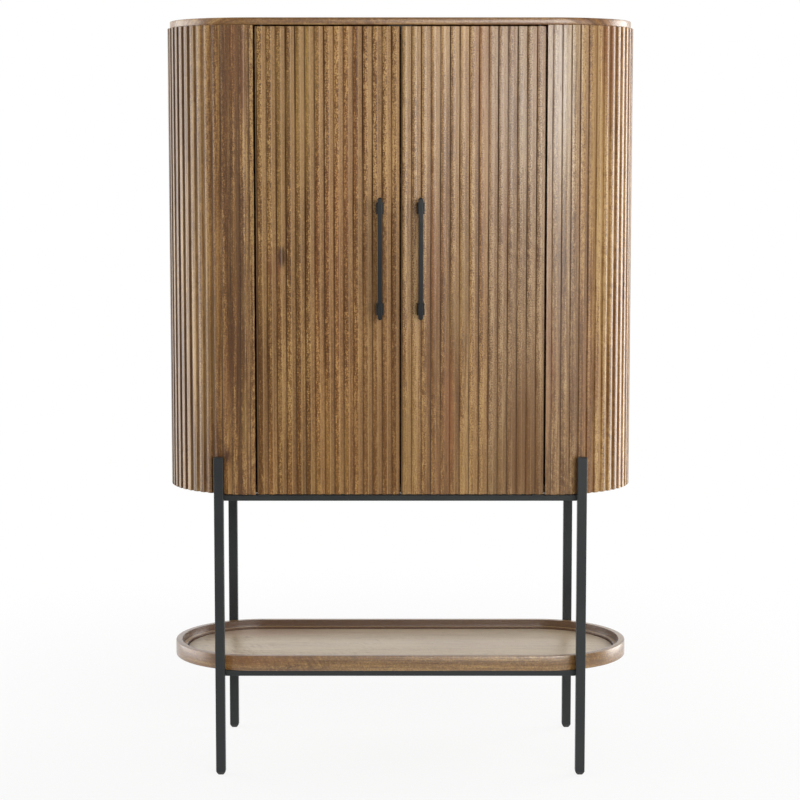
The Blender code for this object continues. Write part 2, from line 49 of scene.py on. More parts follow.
class Wire:
    # wraps a node socket, so node maths reads as plain Python
    def __init__(self, tree, socket=None):
        self.tree = tree
        self.socket = socket

    def add(self, kind, settings=None, values=None, out=0):
        node = self.tree.nodes.new(kind)
        for key, value in (settings or {}).items():
            if key == "stops":
                setStops(node.color_ramp.elements, value)
            elif key == "items":
                while len(node.index_switch_items) < value:
                    node.index_switch_items.new()
            else:
                setattr(node, key, value)
        for key, value in (values or {}).items():
            if isinstance(value, Wire):
                value.feed(node, key)
            else:
                node.inputs[key].default_value = value
        return Wire(self.tree, node.outputs[out])

    def feed(self, node, key):
        self.tree.links.new(self.socket, node.inputs[key])

    def outs(self):
        return [Wire(self.tree, socket) for socket in self.socket.node.outputs]

    def math(self, operation, *others):
        return self.add("ShaderNodeMath", {"operation": operation}, dict(enumerate((self, *others))))

    def turned(self, operation, other):
        return self.add("ShaderNodeMath", {"operation": operation}, {0: other, 1: self})

    def __add__(self, other):
        return self.math("ADD", other)

    def __sub__(self, other):
        return self.math("SUBTRACT", other)

    def __mul__(self, other):
        return self.math("MULTIPLY", other)

    def __truediv__(self, other):
        return self.math("DIVIDE", other)

    def __lt__(self, other):
        return self.math("LESS_THAN", other)

    def __gt__(self, other):
        return self.math("GREATER_THAN", other)

    def __rsub__(self, other):
        return self.turned("SUBTRACT", other)

    def __rtruediv__(self, other):
        return self.turned("DIVIDE", other)

    __radd__ = __add__
    __rmul__ = __mul__

    def most(self, other):
        return self.math("MAXIMUM", other)

    def clamp(self, low=0.0, high=1.0):
        return self.most(low).math("MINIMUM", high)

    def whole(self, step):
        # how many whole steps this count holds, with a little over against rounding
        return (self / step + 0.001).math("FLOOR")

    def span(self, low, high=1.0):
        # runs from low to high while this wire runs from 0 to 1
        return low + self * (high - low)

    def rise(self, low, high):
        # 0 below low, 1 above high, smooth between
        settings = {"interpolation_type": "SMOOTHSTEP"}
        return self.add("ShaderNodeMapRange", settings, {0: self, 1: low, 2: high, 3: 0.0, 4: 1.0})

    def riseBy(self, place, offsets):
        # the same, with low and high counted from a place
        return self.rise(place + offsets[0], place + offsets[1])

    def pick(self, choices):
        # the choice whose number this wire carries
        values = {0: self}
        values.update({i + 1: choice for i, choice in enumerate(choices)})
        return self.add("GeometryNodeIndexSwitch", {"data_type": "FLOAT", "items": len(choices)}, values)

    def split(self):
        return self.add("ShaderNodeSeparateXYZ", None, {0: self}).outs()

    def ramp(self, stops):
        return self.add("ShaderNodeValToRGB", {"stops": stops}, {0: self})

    def blend(self, first, second):
        # this wire is the share of the second colour
        return self.add("ShaderNodeMix", {"data_type": "RGBA"}, {0: self, 6: first, 7: second}, out=2)

    def tinted(self, colour):
        settings = {"data_type": "RGBA", "blend_type": "MULTIPLY"}
        return self.add("ShaderNodeMix", settings, {0: 1.0, 6: self, 7: colour}, out=2)


def setStops(elements, stops):
    while len(elements) > 1:
        elements.remove(elements[-1])
    elements[0].position = stops[0][0]
    elements[0].color = (*stops[0][1], 1.0)
    for place, colour in stops[1:]:
        elements.new(place).color = (*colour, 1.0)


def vector(x, y, z):
    base = next(part for part in (x, y, z) if isinstance(part, Wire))
    return base.add("ShaderNodeCombineXYZ", None, {0: x, 1: y, 2: z})


def distance(x, y):
    return (x * x + y * y).math("SQRT")


# camera

camera = {
    "place": (-0.0008, -4.68, 1.333),
    "pitch": 5.74,           # degrees down
    "lens": 97.1,
    "shift": -0.045,
    "farEnd": 60,
}


def makeCamera():
    data = bpy.data.cameras.new("camera")
    data.lens = camera["lens"]
    data.shift_y = camera["shift"]
    data.clip_end = camera["farEnd"]
    obj = bpy.data.objects.new("camera", data)
    obj.location = camera["place"]
    obj.rotation_euler = (math.radians(90 - camera["pitch"]), 0, 0)
    scene.collection.objects.link(obj)
    scene.camera = obj


makeCamera()
print("camera set")


# light and floor

studio = {
    "worldFill": 0.38,       # what the white surroundings give to matt surfaces
    "frontLevel": 0.12,      # the dim side of the studio, behind the camera, in gloss
    "frontTurn": 11,         # degrees that the dim side lies to the right of the camera
    "frontEdge": (0.18, 0.5),
    "floorColour": (0.78, 0.78, 0.78),
    "floorRoughness": 0.9,
    "floorSize": 14,         # half a side, in metres
    "floorWhite": 0.86,      # share of plain white on the floor near the object
    "floorFade": (0.7, 2.2), # metres over which the floor turns to plain white
    "floorDim": (1.0, 2.6),  # metres in front over which it dims in gloss
    "lamps": (
        # name, place, target, size, watts, colour
        ("keyLamp", (1.54, -4.2, 1.78), (0.1, 0, 1.3), (2.8, 1.7), 120, (1.0, 0.985, 0.97)),
        ("rakeLamp", (2.6, -1.9, 1.3), (0.1, 0, 1.0), (1.0, 2.0), 14, (1.0, 0.985, 0.965)),
        ("rightLamp", (2.8, 1.15, 1.1), (0.4, 0, 1.0), (1.8, 2.4), 75, (1.0, 0.99, 0.97)),
        ("leftLamp", (-2.9, 0.55, 1.1), (-0.4, 0.2, 1.0), (2.8, 2.6), 64, (1.0, 1.0, 1.0)),
        ("fillLamp", (-2.4, -4.0, 1.6), (0, 0, 0.9), (1.6, 1.8), 5, (1.0, 1.0, 1.0)),
    ),
}


def newFinish(name):
    mat = bpy.data.materials.new(name)
    mat.use_nodes = True
    return mat, mat.node_tree, mat.node_tree.nodes["Principled BSDF"]


def lightRays(tree):
    path = Wire(tree).add("ShaderNodeLightPath")
    return {wire.socket.name: wire for wire in path.outs()}


def makeWorld():
    world = bpy.data.worlds.new("whiteStudio")
    world.use_nodes = True
    scene.world = world
    background = world.node_tree.nodes["Background"]
    background.inputs["Color"].default_value = (1, 1, 1, 1)
    rays = lightRays(world.node_tree)
    direct = rays["Is Camera Ray"].most(rays["Is Transmission Ray"])
    heading = direct.add("ShaderNodeTexCoord", out="Generated")
    x, y, z = heading.split()
    turn = math.radians(studio["frontTurn"])
    facing = x * math.sin(turn) - y * math.cos(turn)
    gloss = facing.rise(*studio["frontEdge"]).span(1.0, studio["frontLevel"])
    strength = rays["Is Glossy Ray"].span(studio["worldFill"], gloss)
    direct.span(strength).feed(background, "Strength")


def makeFloor():
    mat, tree, shader = newFinish("paleFloor")
    shader.inputs["Base Color"].default_value = (*studio["floorColour"], 1)
    shader.inputs["Roughness"].default_value = studio["floorRoughness"]
    rays = lightRays(tree)
    glossy = rays["Is Glossy Ray"]
    seen = rays["Is Camera Ray"].most(glossy).most(rays["Is Transmission Ray"])
    place = seen.add("ShaderNodeTexCoord", out="Object")
    away = place.add("ShaderNodeVectorMath", {"operation": "LENGTH"}, {0: place}, out="Value")
    x, y, z = place.split()
    dim = (0 - y).rise(*studio["floorDim"]) * glossy
    share = seen * away.rise(*studio["floorFade"]).span(studio["floorWhite"])
    light = (dim * (1 - studio["frontLevel"])).blend((1, 1, 1, 1), (0, 0, 0, 1))
    white = seen.add("ShaderNodeEmission", None, {"Color": light, "Strength": 1.0})
    lit = Wire(tree, shader.outputs[0])
    mixed = seen.add("ShaderNodeMixShader", None, {0: share, 1: lit, 2: white})
    mixed.feed(tree.nodes["Material Output"], 0)
    bm = bmesh.new()
    bmesh.ops.create_grid(bm, x_segments=1, y_segments=1, size=studio["floorSize"])
    mesh = bpy.data.meshes.new("floor")
    bm.to_mesh(mesh)
    bm.free()
    mesh.materials.append(mat)
    floor = bpy.data.objects.new("floor", mesh)
    scene.collection.objects.link(floor)


def makeLamps():
    for name, place, target, size, watts, colour in studio["lamps"]:
        data = bpy.data.lights.new(name, "AREA")
        data.shape = "RECTANGLE"
        data.size, data.size_y = size
        data.energy = watts
        data.color = colour
        lamp = bpy.data.objects.new(name, data)
        lamp.location = place
        x, y, z = (b - a for a, b in zip(place, target))
        lamp.rotation_euler = (math.atan2(math.hypot(x, y), -z), 0, math.atan2(-x, y))
        scene.collection.objects.link(lamp)


makeWorld()
makeFloor()
makeLamps()
print("studio lit")


# wood

hues = {
    "dark": (0.092, 0.038, 0.010),
    "brown": (0.140, 0.062, 0.017),
    "gold": (0.230, 0.113, 0.032),
    "pale": (0.420, 0.258, 0.098),
    "red": (0.250, 0.095, 0.034),
    "olive": (0.280, 0.165, 0.045),
    "heart": (0.068, 0.030, 0.017),      # dark streaks
    "russet": (0.150, 0.055, 0.020),
    "pore": (0.055, 0.024, 0.008),
    # pale flecks of the grain, and the colour of painted highlights
    "fleckAndHighlight": (0.48, 0.31, 0.13),
    # pale wood, used as the painted highlight on the left wall's flanks
    "paleAndLit": (0.44, 0.33, 0.20),
    "sheenGrey": (0.45, 0.39, 0.33),        # pale grey of a painted sheen
    "groove": (0.40, 0.245, 0.115),      # pale tan of the groove floors, partly lighter wood and partly painted light
    "creviceShadow": (0.066, 0.026, 0.006),    # painted shadow at the foot of a rib's flank
}
layers = {
    # scale across and along the grain, step of the seed, detail, roughness
    "wander": (5.0, 1.4, 3.1, 2.0, 0.5),
    "streak": (30.0, 0.75, 8.6, 3.0, 0.6),
    "bands": (17.0, 0.8, 1.7, 4.0, 0.6),
    "strands": (75.0, 1.7, 10.1, 3.0, 0.6),
    "lines": (210.0, 4.0, 5.3, 3.0, 0.6),
    "flecks": (420.0, 330.0, 9.2, 2.0, 0.6),
    "dashes": (230.0, 45.0, 14.2, 2.0, 0.6),
    "patch": (6.0, 2.0, 7.7, 2.0, 0.5),
    "warm": (13.0, 1.1, 12.9, 4.0, 0.6),
    "ripple": (45.0, 110.0, 4.4, 1.0, 0.5),
    "rippleShare": (6.0, 3.4, 15.0, 2.0, 0.5),
    "pores": (700.0, 34.0, 2.4, 1.0, 0.5),
    "bright": (460.0, 240.0, 6.6, 1.0, 0.5),
    "footShare": (55.0, 2.6, 16.3, 2.0, 0.5),
    "cloud": (9.0, 9.0, 0.0, 2.0, 0.5),  # slow change of tone on a coat
}
edges = {
    # where a layer starts and is full, when it is used as a mask
    "streak": (0.60, 0.76),
    "warm": (0.52, 0.68),
    "cool": (0.34, 0.48),                # the low end of warm
    "rippleShare": (0.46, 0.64),
    "pores": (0.60, 0.72),
    "bright": (0.62, 0.74),
    "footShare": (0.36, 0.58),
    "knot": (0.15, 1.0),                 # from the middle to the rim, also of a patch
    "streakSide": (0.1, 1.0),
}
weights = {
    "figure": {"bands": 1.5, "strands": 1.3, "lines": 1.6, "patch": 0.9},
    "stipple": {"flecks": 2.4, "dashes": 1.0},
    "gloss": {"lines": 0.16, "pores": 0.12, "patch": 0.10},
    "bump": {"lines": 0.5, "flecks": 0.35, "pores": -0.8},
    "shade": {"strands": 2.5, "lines": 1.0},
    "paleAndLit": {"strands": 1.2, "flecks": 1.6},
}
grain = {
    "seedDepth": 0.7,            # third place in the noise for each step of the seed
    "tilt": {"upright": 0.35, "round": 0.9, "flat": 0.8},    # slant of the lines on the other faces
    "wander": 0.016,             # metres that the lines drift
    "knotStretch": 2.4,          # length of a knot over its width
    "knotPush": (0.5, 0.7),      # how far lines give way to a knot, and how softly
    "streakEnds": (0.06, 0.10),  # metres over which a streak starts and ends
    "ripple": 1.1,
    "rippleTilt": 0.6,
    "cool": 0.45,
    "pores": 0.40,
    "bright": 0.30,
    "patchMost": 0.9,
    "patchStrands": 1.6,
    "shade": 0.8,
    "middleTone": 0.5,
    "fadeHeight": 1.15,          # height at which a board's fade is nil
    "stippleHeights": (0.72, 1.30),
    "stippleSpan": (0.88, 1.18),
    "smoothSpan": (1.0, 0.25),
    "bump": 0.12,
    "bumpDepth": 0.0006,
    "coatIor": 1.7,
}
plainWood = {
    # what a look takes where it says nothing else
    "streaky": 0.55,             # loose dark streaks
    "stipple": 0.45,             # fine flecks and dashes
    "figure": 1.0,               # contrast of bands and lines
    "lift": 0.0,                 # paler as a whole
    "fade": 0.0,                 # painted light: paler for each metre of height
    "warmth": 0.45,              # share of red wood
    "roughness": 0.30,
    "shine": 0.5,
    "coat": 0.0,                 # clear lacquer
    "coatRoughness": 0.27,
    "knots": (),                 # across, along, size, depth
    "streaks": (),               # across, low and high end, width, depth
    "patches": (),               # hue, across, along, width, length, depth
}


def noise(across, along, layer, seed):
    acrossScale, alongScale, step, detail, roughness = layers[layer]
    start = seed + step
    place = vector(across * acrossScale + start, along * alongScale, start * grain["seedDepth"])
    return place.add("ShaderNodeTexNoise", {"noise_dimensions": "3D"},
                     {"Vector": place, "Scale": 1.0, "Detail": detail, "Roughness": roughness})


def mask(across, along, layer, seed):
    return noise(across, along, layer, seed).rise(*edges[layer])


def weighed(field, purpose):
    return sum(field[layer] * weight for layer, weight in weights[purpose].items())


def stained(colour, hue, share):
    return share.blend(colour, (*hues[hue], 1))


def ovalReach(place, oval):
    # the nearest point of an oval's middle line, and the way from there to the side and the front
    straight, radius, centreY = oval
    x, y, z = place.split()
    middle = x.clamp(-straight, straight)
    return middle, x - middle, centreY - y


def grainLines(place, look):
    # across and along the grain, in metres
    x, y, z = place.split()
    tilt = grain["tilt"].get(look["lies"])
    if look["lies"] == "ribbed":
        return place.add("ShaderNodeAttribute", {"attribute_name": "along"}, out="Fac"), z
    if look["lies"] == "upright":
        return x + y * tilt, z
    if look["lies"] == "round":
        middle, side, front = ovalReach(place, look["oval"])
        radius = look["oval"][1]
        return z + distance(side, front) * tilt, middle + side.math("ARCTAN2", front) * radius
    return y + z * tilt, x


def grainPath(across, along, look):
    # the lines with their slow wander and their way round each knot, and the dark of knots and streaks
    line = across + (noise(across, along, "wander", look["seed"]) - 0.5) * grain["wander"]
    shade = mask(line, along, "streak", look["seed"]) * look["streaky"]
    push, softness = grain["knotPush"]
    for knotAcross, knotAlong, size, depth in look["knots"]:
        dx = (across - knotAcross) / size
        dy = (along - knotAlong) / (size * grain["knotStretch"])
        far = distance(dx, dy)
        line = line + dx / (far * far + softness) * (size * push)
        shade = shade.most((1 - far.rise(*edges["knot"])) * depth)
    start, end = grain["streakEnds"]
    for streakAcross, low, high, width, depth in look["streaks"]:
        side = ((line - streakAcross) / width).math("ABSOLUTE")
        run = along.rise(low, low + start) * (1 - along.rise(high - end, high))
        shade = shade.most((1 - side.rise(*edges["streakSide"])) * run * depth)
    return line, shade


def grainField(across, along, line, seed):
    field = {layer: noise(line, along, layer, seed) - 0.5
             for layer in ("bands", "strands", "lines", "flecks", "dashes")}
    field["patch"] = noise(across, along, "patch", seed) - 0.5
    field["warm"] = noise(line, along, "warm", seed)
    ripple = noise(across, along + across * grain["rippleTilt"], "ripple", seed) - 0.5
    field["ripple"] = ripple * mask(across, along, "rippleShare", seed)
    for layer in ("pores", "bright"):
        field[layer] = mask(line, along, layer, seed)
    return field


def grainColour(tone, field, look):
    stops = ((0.0, "dark"), (0.34, "brown"), (0.60, "gold"), (1.0, "pale"))
    colour = tone.clamp().ramp([(place, hues[hue]) for place, hue in stops])
    colour = stained(colour, "red", field["warm"].rise(*edges["warm"]) * look["warmth"])
    colour = stained(colour, "olive", (1 - field["warm"].rise(*edges["cool"])) * grain["cool"])
    return colour


def boardTints(colour, across, look):
    # a glued-up panel: each board has its own tint; on the right door and right wall some tints also hold a
    # painted sheen
    tint = (across / look["panelWidth"]).clamp().ramp(look["tints"])
    tint.socket.node.color_ramp.interpolation = "CONSTANT"
    return colour.tinted(tint)


# light and shade painted on the ribs, with the paler groove floors

ribs = {
    "Pitch": 0.020,
    "Rib Width": 0.010,
    "Rib Depth": 0.004,
    "Edge": 0.0003,          # eased edge of a rib
    "Draft": 0.0004,         # slope of a rib's flank
    "Ease": 0.0006,          # eased top and bottom ends
}
ribShading = {
    # in metres from a rib's edge: the groove floor, and the painted highlight on the edge
    "flank": (-0.0006, 0.0002),
    "edgeStart": (-0.0016, -0.0005),
    "edgeEnd": (0.0003, 0.0014),
    # painted shadow at a rib's foot, in metres from the next rib
    "footWidth": 0.0024,
    "footFull": 0.0016,
    "footEnd": (-0.0006, -0.0003),
    # painted shadow down a door's sides, in metres from its side
    "doorSide": (-0.0016, -0.0006),
    "doorSideShade": 0.9,
    # heights between which it grows
    "grooveHeights": (0.85, 1.40),
    "footHeights": (0.62, 1.30),
    # least share, where height or noise takes some away
    "grooveLeast": 0.5,
    "footLeast": 0.42,
    "footPatchy": 0.35,
    # strengths
    "paleAndLit": 0.85,
    "grooveStipple": 0.5,
    "grooveShade": 0.6,
    "roughness": 0.4,
    # the stored front attribute, 0 behind and 1 in front
    "front": (0.7, 0.95),
}


def ribPlace(place, across, look):
    # where a point lies on its rib or groove, counted from the side away from the light
    pitch, width = ribs["Pitch"], ribs["Rib Width"]
    spot = (across - look["firstRib"]) / pitch
    if look.get("flip"):
        spot = width / pitch - spot
    spot = (spot + 40).math("FRACT") * pitch     # 40 ribs on, so that no count is below nought
    front = place.add("ShaderNodeAttribute", {"attribute_name": "front"}, out="Fac")
    front = front.rise(*ribShading["front"])
    return {"spot": spot, "front": front, "groove": spot.riseBy(width, ribShading["flank"]) * front}


def paintFootShadow(spot, across, along, look):
    # painted shadow in the corner at the foot of each rib, and down the sides of a door
    pitch = ribs["Pitch"]
    foot = spot.rise(pitch - look.get("footWidth", ribShading["footWidth"]), pitch - ribShading["footFull"])
    foot = foot * look["footShade"]
    if "doorWidth" not in look:
        foot = foot * (1 - spot.riseBy(pitch, ribShading["footEnd"]))
    foot = foot * mask(across, along, "footShare", look["seed"]).span(ribShading["footPatchy"])
    foot = foot * along.rise(*ribShading["footHeights"]).span(ribShading["footLeast"])
    if "footRun" in look:
        first, last, low, high = look["footRun"]
        foot = foot * across.rise(first, last).span(low, high)
    if "doorWidth" in look:
        half = look["doorWidth"] / 2
        side = (across - half).math("ABSOLUTE") - half
        foot = foot.most(side.rise(*ribShading["doorSide"]) * ribShading["doorSideShade"])
    return foot


def paintRibLightAndShade(colour, look, across, along, field, shade, rib):
    # paler groove floors, partly lighter wood and partly painted light; a painted highlight on each rib's
    # lit edge; painted shadow at the ribs' feet and in some grooves
    spot, front, groove = rib["spot"], rib["front"], rib["groove"]
    # paler groove floors: partly a lighter, less polished wood, partly painted light that grows with height
    paleAndLit = groove * along.rise(*ribShading["grooveHeights"]).span(ribShading["grooveLeast"])
    paleAndLit = paleAndLit * (ribShading["paleAndLit"] + weighed(field, "paleAndLit")) * (1 - shade)
    colour = stained(colour, "groove", paleAndLit * look["grooveLift"])

    # painted highlight on the edge of each rib that faces the light, and on the flanks towards the left
    # wall's end
    edge = ribs["Rib Width"] + look.get("edgeHighlightShift", 0.0)
    edgeHighlight = spot.riseBy(edge, ribShading["edgeStart"]) * (1 - spot.riseBy(edge, ribShading["edgeEnd"]))
    if "edgeHighlightFrom" in look:
        edgeHighlight = edgeHighlight * across.rise(*look["edgeHighlightFrom"])
    colour = stained(colour, look.get("edgeHighlightHue", "fleckAndHighlight"), edgeHighlight * front * look["edgeHighlight"])

    # painted shadow where the next rib shades the groove floor, and in the gaps beside the doors
    paintedShade = paintFootShadow(spot, across, along, look) * front
    # painted shade on the groove floors towards the left wall's end
    if "grooveShadeFrom" in look:
        paintedShade = paintedShade.most(groove * across.rise(*look["grooveShadeFrom"]) * ribShading["grooveShade"])
    return stained(colour, "creviceShadow", paintedShade), paintedShade


# a darker inner face on an oval rim, and a painted highlight on the pale ledge below it

rimDarkAndLedgeLight = {
    # in metres from the inner face
    "face": (0.0004, 0.0014),
    "faceDarkening": 0.85,
    "ledgeStart": (-0.0100, -0.0088),
    "ledgeEnd": (-0.0022, -0.0008),
    "ledgeHighlight": 0.9,
}


def paintRimDarkAndLedgeLight(colour, place, look):
    middle, side, front = ovalReach(place, look["oval"])
    reach = distance(side, front)
    inner = look["innerFace"]
    colour = stained(colour, "heart", (1 - reach.riseBy(inner, rimDarkAndLedgeLight["face"])) * rimDarkAndLedgeLight["faceDarkening"])
    # painted highlight on the ledge, standing in for its reflection of the bright surroundings
    ledge = (1 - reach.riseBy(inner, rimDarkAndLedgeLight["ledgeEnd"])) * reach.riseBy(inner, rimDarkAndLedgeLight["ledgeStart"])
    return stained(colour, "fleckAndHighlight", ledge * rimDarkAndLedgeLight["ledgeHighlight"])


def woodFinish(name, look):
    look = {**plainWood, **look}
    mat, tree, shader = newFinish(name)
    place = Wire(tree).add("ShaderNodeTexCoord", out="Object")
    across, along = grainLines(place, look)
    line, shade = grainPath(across, along, look)
    field = grainField(across, along, line, look["seed"])
    ribbed = look["lies"] == "ribbed"

    stipple = weighed(field, "stipple") * look["stipple"]
    if "smoothFrom" in look:
        stipple = stipple * across.rise(*look["smoothFrom"]).span(*grain["smoothSpan"])
    stipple = stipple * along.rise(*grain["stippleHeights"]).span(*grain["stippleSpan"])
    stipple = stipple + field["ripple"] * grain["ripple"]
    if ribbed:
        rib = ribPlace(place, across, look)
        stipple = stipple * rib["groove"].span(1.0, ribShading["grooveStipple"])
    figure = weighed(field, "figure") * look["figure"]
    # painted light: a tone that changes steadily with height
    fade = (along - grain["fadeHeight"]) * look["fade"]
    tone = grain["middleTone"] + figure + stipple + look["lift"] + fade
    shade = (shade * (grain["shade"] + weighed(field, "shade"))).clamp()

    colour = grainColour(tone, field, look)
    if "tints" in look:
        colour = boardTints(colour, across, look)
    if "tint" in look:
        colour = colour.tinted((*look["tint"], 1))
    for hue, patchAcross, patchAlong, width, length, depth in look["patches"]:
        far = distance((line - patchAcross) / width, (along - patchAlong) / length)
        share = (1 - far.rise(*edges["knot"])) * (depth + field["strands"] * grain["patchStrands"])
        colour = stained(colour, hue, share.clamp(0.0, grain["patchMost"]))
    colour = stained(colour, "heart", shade)
    colour = stained(colour, "pore", field["pores"] * grain["pores"])
    colour = stained(colour, "fleckAndHighlight", field["bright"] * grain["bright"])
    gloss = look["roughness"] + weighed(field, "gloss")
    if ribbed:
        colour, paintedShade = paintRibLightAndShade(colour, look, across, along, field, shade, rib)
        gloss = gloss + paintedShade * ribShading["roughness"]
    if "innerFace" in look:
        colour = paintRimDarkAndLedgeLight(colour, place, look)

    colour.feed(shader, "Base Color")
    gloss.feed(shader, "Roughness")
    height = weighed(field, "bump")
    bumpValues = {"Strength": grain["bump"], "Distance": grain["bumpDepth"], "Height": height}
    place.add("ShaderNodeBump", None, bumpValues).feed(shader, "Normal")
    shader.inputs["Specular IOR Level"].default_value = look["shine"]
    shader.inputs["Coat Weight"].default_value = look["coat"]
    shader.inputs["Coat Roughness"].default_value = look["coatRoughness"]
    shader.inputs["Coat IOR"].default_value = grain["coatIor"]
    return mat


# shapes made by node trees

mergeDistance = 0.00001
sharpAngle = 32              # degrees, from which an edge shows as an edge


def newTree(name, inputs):
    tree = bpy.data.node_groups.new(name, "GeometryNodeTree")
    for label in inputs:
        tree.interface.new_socket(label, in_out="INPUT", socket_type="NodeSocketFloat")
    tree.interface.new_socket("Finish", in_out="INPUT", socket_type="NodeSocketMaterial")
    tree.interface.new_socket("Shape", in_out="OUTPUT", socket_type="NodeSocketGeometry")
    start = tree.nodes.new("NodeGroupInput")
    wires = {socket.name: Wire(tree, socket) for socket in start.outputs if socket.name}
    return tree, wires


def gridPoints(base, columns, rows):
    # a grid, and the column and row of each of its points
    grid = base.add("GeometryNodeMeshGrid", None, {"Vertices X": columns, "Vertices Y": rows})
    index = grid.add("GeometryNodeInputIndex")
    column = index.whole(rows)
    return grid, column, index - column * rows


def placed(grid, x, y, z):
    return grid.add("GeometryNodeSetPosition", None, {"Geometry": grid, "Position": vector(x, y, z)})


def merged(shape):
    return shape.add("GeometryNodeMergeByDistance", None, {"Geometry": shape, "Distance": mergeDistance})


def endTree(tree, shape, finish):
    whole = shape.add("GeometryNodeRealizeInstances", None, {0: shape})
    painted = whole.add("GeometryNodeSetMaterial", None, {"Geometry": whole, "Material": finish})
    painted.feed(tree.nodes.new("NodeGroupOutput"), 0)


def fromTree(name, tree, values, body, replaced):
    obj = bpy.data.objects.new(name, bpy.data.meshes.new(name + "Start"))
    scene.collection.objects.link(obj)
    modifier = obj.modifiers.new("shape", "NODES")
    modifier.node_group = tree
    for item in tree.interface.items_tree:
        if item.in_out == "INPUT":
            modifier[item.identifier] = values[item.name]
    graph = bpy.context.evaluated_depsgraph_get()
    shaped = obj.evaluated_get(graph)
    mesh = bpy.data.meshes.new_from_object(shaped, preserve_all_data_layers=True, depsgraph=graph)
    obj.modifiers.remove(modifier)
    mesh.name = name
    obj.data = mesh
    cleanMesh(mesh)
    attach(obj, body)
    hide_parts(*replaced)
    print(name, len(mesh.vertices), "points")


def cleanMesh(mesh):
    bm = bmesh.new()
    bm.from_mesh(mesh)
    bmesh.ops.recalc_face_normals(bm, faces=bm.faces)
    bm.to_mesh(mesh)
    bm.free()
    mesh.shade_smooth()
    mesh.set_sharp_from_angle(angle=math.radians(sharpAngle))


# ribbed boards: the doors, and the half-round walls

